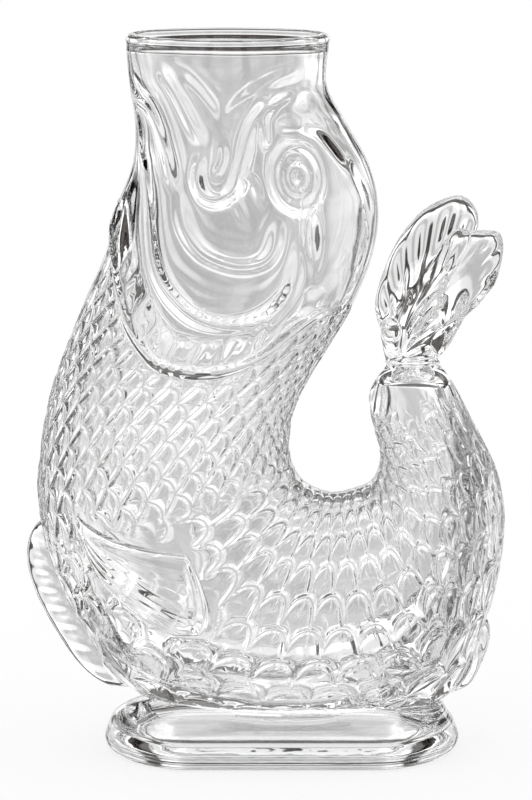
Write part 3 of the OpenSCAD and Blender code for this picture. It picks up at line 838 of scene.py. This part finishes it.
# %% Tail fin
PETAL_COLUMNS = 168
PETAL_ROWS = 52
EDGE_THICK = 5.0
ROOT_THICK = 19.0
FAR_PETAL = {"root": (-1, 1, -1), "ribs": 8, "rib": 0.55, "cup": 2.5, "outline": [
    (-12.6, 2, 14), (-13.6, 4, 22), (-11, 6, 32), (-5.5, 8, 44), (2.5, 9, 54), (11, 10, 59), (18, 9, 60.3),
    (23, 8, 55.5), (23.5, 7, 48), (19, 5, 36), (10, 3, 20)]}
NEAR_PETAL = {"root": (0.5, -1, 0), "ribs": 10, "rib": 0.35, "cup": 2.0, "outline": [
    (-1, 1, 20), (5, 1, 33), (14.5, 0, 48.5), (20, -4, 49), (26.5, -8, 49.5), (31, -12, 48.5),
    (31.8, -14, 42), (29, -16, 32), (23.5, -16, 25), (16, -14, 19.5), (8, -10, 14)]}


def petal(name, kind):
    around = np.linspace(0, 2 * np.pi, PETAL_COLUMNS + 1)
    share = (1 - np.cos(around)) / 2
    side = np.sign(np.sin(around)) * np.abs(np.sin(around)) ** 0.5
    root, outline = np.array(kind["root"], float), np.array(kind["outline"], float)
    edge = curve(outline, (len(outline) - 1) * share)
    face = np.cross(outline[-1] - outline[0], edge.mean(axis=0) - root)
    face /= np.linalg.norm(face)
    rows = [np.repeat(root[None], PETAL_COLUMNS + 1, axis=0)]
    for s in np.linspace(0.04, 1, PETAL_ROWS):
        thick = EDGE_THICK + (ROOT_THICK - EDGE_THICK) * (1 - ease(0.2, 0.72, s))
        round_edge = math.sqrt(max(0.0, 1 - float(ease(0.88, 1.0, s)) ** 2))
        rib = kind["rib"] * np.cos(2 * np.pi * kind["ribs"] * share)
        rib = rib * ease(0.3, 0.55, s) * (1 - ease(0.85, 1.0, s))
        cup = kind["cup"] * math.sin(math.pi * s) * (1 - (2 * share - 1) ** 2)
        across = (thick / 2 + rib) * side * round_edge * ease(0, 0.12, s) + cup
        rows.append(root + (edge - root) * s + face * across[:, None])
    return rolled(name, rows)


# %% [markdown]
# The stem is a short rod with a small flange at the collar. It leans a little and closes in a
# slanted dome. The petals are fused to it, the corners flow together, and the fin is moved up to
# the collar. A gap of a hair's breadth stays there, so that the two glass skins don't touch.

# %% Stem and joining
STEM_H = 15.0
STEM_R = 9.7
FLANGE = 0.6
STEM_LEAN = -4.2
STEM_SLANT = -0.42
SEAM = 0.15
# lowest and highest millimetre, rings of neighbours, passes
TAIL_FLOW = (3, 60, 6, 24)
COLLAR = Vector((47.5, 0, 141.0 + SEAM)) * MM


def stem_rows():
    a = np.linspace(0, 2 * np.pi, 97)
    rows = []
    for v in np.concatenate([np.linspace(0, 0.1, 6), np.linspace(0.13, 1, 26)]):
        close = math.sqrt(max(0.0, 1 - float(ease(0.45, 1, v)) ** 2))
        lip = FLANGE * math.sqrt(max(0.0, 1 - (v / 0.05 - 1) ** 2)) if v < 0.1 else 0.0
        r_x, r_y = (STEM_R - 0.3 + lip) * close, (STEM_R - 0.3 + lip - 1.2 * v) * close
        x = STEM_LEAN * v + r_x * np.cos(a)
        rows.append(np.stack([x, r_y * np.sin(a), STEM_H * v + STEM_SLANT * x * ease(0.2, 1, v)], axis=1))
    return [rows[0] * [f, f, 1] for f in (0, 0.5, 0.9)] + rows


tail = rolled("tail_fin_glass", stem_rows())
for form in (petal("far_petal_form", FAR_PETAL), petal("near_petal_form", NEAR_PETAL)):
    fuse(tail, form)
print("smoothed tail points", flow(tail, *TAIL_FLOW))
form = bmesh.new()
form.from_mesh(tail.data)
bmesh.ops.translate(form, verts=form.verts, vec=COLLAR)
form.to_mesh(tail.data)
form.free()
finish_surface(tail)
print("tail fin faces", len(tail.data.polygons))
print("packed tail fin mm", np.round(tail_low, 1), np.round(tail_high, 1))

# %% [markdown]
# Materials are sums made of nodes. These helpers add one node each and join its inputs to other
# nodes or to plain values, so that the materials below stay short.

# %% Node helpers
def wire(tree, source, target):
    """Join a node output to an input, or set the input to a plain value."""
    if hasattr(source, "is_output"):
        tree.links.new(source, target)
    else:
        target.default_value = source


def sum_node(tree, operation, first, second=0.0):
    node = tree.nodes.new("ShaderNodeMath")
    node.operation = operation
    wire(tree, first, node.inputs[0])
    wire(tree, second, node.inputs[1])
    return node.outputs[0]


def ramp(tree, source, stops):
    """Colour ramp from pairs of place and colour, where a single number is a grey."""
    node = tree.nodes.new("ShaderNodeValToRGB")
    wire(tree, source, node.inputs["Fac"])
    marks = node.color_ramp.elements
    while len(marks) < len(stops):
        marks.new(0.5)
    for mark, (place, _) in zip(marks, stops):
        mark.position = place
    for mark, (_, level) in zip(marks, stops):
        mark.color = tuple(level) + (1,) if isinstance(level, tuple) else (level, level, level, 1)
    return node.outputs["Color"]


def blend(tree, kind, factor, first, second):
    node = tree.nodes.new("ShaderNodeMix")
    node.data_type, node.blend_type = "RGBA", kind
    wire(tree, factor, node.inputs[0])
    wire(tree, first, node.inputs[6])
    wire(tree, second, node.inputs[7])
    return node.outputs[2]


def spokes(tree, x, y, stops):
    """Colour that repeats every eighth of a turn round the jug."""
    turn = sum_node(tree, "ARCTAN2", x, y)
    eighths = sum_node(tree, "ADD", sum_node(tree, "DIVIDE", turn, math.pi / 4), 8.5)
    return ramp(tree, sum_node(tree, "FRACT", eighths), stops)


# %% [markdown]
# The mesh has soft beads along the scales, and a crisp one lies on top of each. It is drawn by the
# material, from the run and the turn that are stored on the skin and along the same edge curve,
# because a mesh fine enough for it would be too heavy.

# %% Bead of the scales
def bead(tree, s, turn, kind):
    """Round bead along the free edges of one kind of scale, 1 on its crest."""
    along, edge, lean = edge_curve(kind)
    q = sum_node(tree, "DIVIDE", turn, kind["turn"])
    k = sum_node(tree, "FLOOR", q)
    half = sum_node(tree, "FRACT", sum_node(tree, "MULTIPLY", k, 0.5))
    p = sum_node(tree, "ADD", sum_node(tree, "DIVIDE", s, kind["pitch"]), half)
    gaps = []
    for shift, levels in ((0.0, (0.0,)), (0.5, (1.0, -1.0))):
        x = sum_node(tree, "FRACT", sum_node(tree, "ADD", p, shift))
        edge_at = ramp(tree, x, [(a, float(e) + 0.5) for a, e in zip(along, edge)])
        lean_at = ramp(tree, x, [(a, float(e)) for a, e in zip(along, lean)])
        for level in levels:
            over = sum_node(tree, "SUBTRACT", q, sum_node(tree, "ADD", k, level - 0.5))
            off = sum_node(tree, "ABSOLUTE", sum_node(tree, "SUBTRACT", over, edge_at))
            gaps.append(sum_node(tree, "MULTIPLY", off, lean_at))
    gap = sum_node(tree, "MINIMUM", sum_node(tree, "MINIMUM", gaps[0], gaps[1]), gaps[2])
    gap = sum_node(tree, "MULTIPLY", gap, kind["row"] / kind["rim"])
    square = sum_node(tree, "MULTIPLY", gap, gap)
    return sum_node(tree, "EXPONENT", sum_node(tree, "MULTIPLY", square, -1.0))


# %% [markdown]
# Blown glass is clear, smooth and faintly grey where it is thick: full transmission, no roughness
# and a little absorption inside. The beads and a faint unevenness bend its surface.

# %% Glass
BEND = 0.001
GLASS_IOR = 1.5
UNEVEN_H = 0.05
UNEVEN_SCALE = 90.0
CHANGE_RUN = 6.0
TINT = (0.8, 0.81, 0.815, 1)
TINT_DENSITY = 4.0
glass = bpy.data.materials.new("clear_blown_glass")
glass.use_nodes = True
nt = glass.node_tree
bsdf = nt.nodes["Principled BSDF"]
out = nt.nodes["Material Output"]
bsdf.inputs["Base Color"].default_value = (1, 1, 1, 1)
bsdf.inputs["Transmission Weight"].default_value = 1.0
bsdf.inputs["Roughness"].default_value = 0.0
bsdf.inputs["IOR"].default_value = GLASS_IOR
where = nt.nodes.new("ShaderNodeTexCoord")
noise = nt.nodes.new("ShaderNodeTexNoise")
noise.inputs["Scale"].default_value = UNEVEN_SCALE
noise.inputs["Detail"].default_value = 2.0
nt.links.new(where.outputs["Object"], noise.inputs["Vector"])
mark = nt.nodes.new("ShaderNodeAttribute")
mark.attribute_name = "skin_place"
split = nt.nodes.new("ShaderNodeSeparateXYZ")
nt.links.new(mark.outputs["Vector"], split.inputs[0])
s_at, turn_at, laid_at = (split.outputs[k] for k in "XYZ")
change = float(np.interp(CHANGE_T, fine_t, run))
late = sum_node(nt, "DIVIDE", sum_node(nt, "SUBTRACT", s_at, change - CHANGE_RUN), 2 * CHANGE_RUN)
late = ramp(nt, late, [(0.0, 0.0), (1.0, 1.0)])
small_bead = sum_node(nt, "MULTIPLY", bead(nt, s_at, turn_at, SMALL), FINE_SHARE * SMALL["high"])
large_bead = sum_node(nt, "MULTIPLY", bead(nt, s_at, turn_at, LARGE), FINE_SHARE * LARGE["high"])
beads = sum_node(nt, "ADD", sum_node(nt, "MULTIPLY", small_bead, sum_node(nt, "SUBTRACT", 1.0, late)),
                 sum_node(nt, "MULTIPLY", large_bead, late))
uneven = sum_node(nt, "MULTIPLY", noise.outputs["Fac"], UNEVEN_H)
raised = sum_node(nt, "ADD", sum_node(nt, "MULTIPLY", beads, laid_at), uneven)
bump = nt.nodes.new("ShaderNodeBump")
bump.inputs["Strength"].default_value = 1.0
bump.inputs["Distance"].default_value = BEND
nt.links.new(raised, bump.inputs["Height"])
nt.links.new(bump.outputs["Normal"], bsdf.inputs["Normal"])
soak = nt.nodes.new("ShaderNodeVolumeAbsorption")
soak.inputs["Color"].default_value = TINT
soak.inputs["Density"].default_value = TINT_DENSITY
nt.links.new(soak.outputs["Volume"], out.inputs["Volume"])
print("glass material nodes", len(nt.nodes))

# %% [markdown]
# Both pieces are of this glass and ride on the one body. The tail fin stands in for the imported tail
# fin, and the jug for all the other forms.

# %% Glass on the pieces
for piece in (jug, tail):
    piece.data.materials.clear()
    piece.data.materials.append(glass)
    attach(piece, "root")
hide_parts("tail_fin")
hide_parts(*[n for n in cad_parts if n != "tail_fin"])
print("nodes replaced", len(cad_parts))

# %% [markdown]
# Glass shows what stands around it, bent. A photographer puts grey straight behind it, white round
# that, and black strips further out, which draw the dark lines. The same is done here by direction:
# tones by height (-1 is straight down, 0 level, 1 straight up), and strips that repeat every eighth
# of a turn, so that the jug is lit alike from every side. A tone above 1 is a card brighter than
# the paper, which makes up for light that is lost on the way through the glass.

# %% Studio tones
DARK = (0.07, 0.062, 0.058)
SKY = [
    (-1.0, 0.8), (-0.7, 0.8), (-0.64, DARK), (-0.49, DARK), (-0.44, 1.1), (-0.32, 1.1), (-0.27, 0.8),
    (-0.23, 0.73), (-0.17, 0.7), (-0.13, 0.63), (-0.09, 0.67), (-0.03, 0.7), (0.03, 1.2), (0.14, 1.2),
    (0.18, DARK), (0.42, DARK), (0.46, 1.15), (1.0, 1.15)]
SPOKES = [
    (0.0, DARK), (0.07, DARK), (0.12, 1.25), (0.34, 1.25), (0.42, 0.82), (0.58, 0.82), (0.66, 1.25),
    (0.88, 1.25), (0.93, DARK), (1.0, DARK)]
# the strips show in full up to the first height and not at all from the second
STEEP = [(0.6, 1.0), (0.85, 0.0)]
print("tones by height", len(SKY), "strip edges", len(SPOKES))

# %% [markdown]
# The jug stands on white paper. The camera sees paper that is mostly white by itself and a little
# lit, so that a faint shadow stays. Rays that come through or off the glass pass the paper and meet
# the studio's tones.

# %% Floor
FLOOR_REACH = 8.0
FLOOR_DROP = 0.4
PAPER_LIT = 0.2
form = bmesh.new()
bmesh.ops.create_circle(form, cap_ends=True, radius=FLOOR_REACH, segments=96)
bmesh.ops.translate(form, verts=form.verts, vec=(0, 0, -FLOOR_DROP * MM))
mesh = bpy.data.meshes.new("floor")
form.to_mesh(mesh)
form.free()
floor = bpy.data.objects.new("floor", mesh)
bpy.context.scene.collection.objects.link(floor)
paper = bpy.data.materials.new("white_paper")
paper.use_nodes = True
pt = paper.node_tree
pt.nodes.clear()
p_out = pt.nodes.new("ShaderNodeOutputMaterial")
pale = pt.nodes.new("ShaderNodeBsdfDiffuse")
pale.inputs["Color"].default_value = (PAPER_LIT, PAPER_LIT, PAPER_LIT, 1)
glow = pt.nodes.new("ShaderNodeEmission")
glow.inputs["Strength"].default_value = 1 - PAPER_LIT
both = pt.nodes.new("ShaderNodeAddShader")
pt.links.new(pale.outputs[0], both.inputs[0])
pt.links.new(glow.outputs[0], both.inputs[1])
seen = pt.nodes.new("ShaderNodeBsdfTransparent")
pick = pt.nodes.new("ShaderNodeMixShader")
rays = pt.nodes.new("ShaderNodeLightPath")
by_glass = sum_node(pt, "MAXIMUM", rays.outputs["Is Transmission Ray"], rays.outputs["Is Glossy Ray"])
pt.links.new(by_glass, pick.inputs[0])
pt.links.new(both.outputs[0], pick.inputs[1])
pt.links.new(seen.outputs[0], pick.inputs[2])
pt.links.new(pick.outputs[0], p_out.inputs[0])
floor.data.materials.append(paper)
print("paper", FLOOR_REACH, "m")

# %% [markdown]
# The world holds those tones. Rays straight from the camera and the light on the paper are plain
# white, and rays that come through or off the glass see the tones. The strips fade out straight up
# and straight down, where all of them would meet.

# %% World
world = bpy.data.worlds.new("studio")
bpy.context.scene.world = world
world.use_nodes = True
world.cycles.sampling_method = "NONE"
wt = world.node_tree
wt.nodes.clear()
wout = wt.nodes.new("ShaderNodeOutputWorld")
bg = wt.nodes.new("ShaderNodeBackground")
wt.links.new(bg.outputs[0], wout.inputs[0])
coord = wt.nodes.new("ShaderNodeTexCoord")
sep = wt.nodes.new("ShaderNodeSeparateXYZ")
wt.links.new(coord.outputs["Generated"], sep.inputs[0])
level = sum_node(wt, "MULTIPLY_ADD", sep.outputs["Z"], 0.5)
level.node.inputs[2].default_value = 0.5
by_height = ramp(wt, level, [((z + 1) / 2, tone) for z, tone in SKY])
strips = spokes(wt, sep.outputs["X"], sep.outputs["Y"], SPOKES)
steep = ramp(wt, sum_node(wt, "ABSOLUTE", sep.outputs["Z"]), STEEP)
dome = blend(wt, "MULTIPLY", steep, by_height, strips)
path = wt.nodes.new("ShaderNodeLightPath")
plain = sum_node(wt, "MAXIMUM", path.outputs["Is Camera Ray"], path.outputs["Is Diffuse Ray"])
wt.links.new(blend(wt, "MIX", plain, dome, (1, 1, 1, 1)), bg.inputs["Color"])
print("world nodes", len(wt.nodes))

# %% [markdown]
# The camera stands nearly two metres away and a little above the mouth, and looks down by about
# eight degrees through a long lens. How thin an oval the mouth makes in the photo gives that angle.

# %% Camera
LOOK_DOWN = math.radians(7.8)
CAMERA_AWAY = 1.8
SENSOR = 36.0
FOCAL_PX = 4952
IMAGE_H = 800
cam_data = bpy.data.cameras.new("camera")
cam = bpy.data.objects.new("camera", cam_data)
bpy.context.scene.collection.objects.link(cam)
bpy.context.scene.camera = cam
target = Vector((-5.8, 0, 127.8)) * MM
cam.location = target + CAMERA_AWAY * Vector((0, -math.cos(LOOK_DOWN), math.sin(LOOK_DOWN)))
cam.rotation_euler = (math.pi / 2 - LOOK_DOWN, 0, 0)
cam_data.sensor_fit = "VERTICAL"
cam_data.sensor_height = SENSOR
cam_data.lens = SENSOR * FOCAL_PX / IMAGE_H
cam_data.clip_start, cam_data.clip_end = 0.05, 50
print("lens mm", round(cam_data.lens, 1))

# %% [markdown]
# Light turns many times inside thick glass before it comes out, so many bounces are allowed: a ray
# that is cut off too early leaves a black spot.

# %% Light paths
scene = bpy.context.scene
scene.view_settings.view_transform = "Standard"
scene.cycles.max_bounces = 24
scene.cycles.transmission_bounces = 20
scene.cycles.glossy_bounces = 12
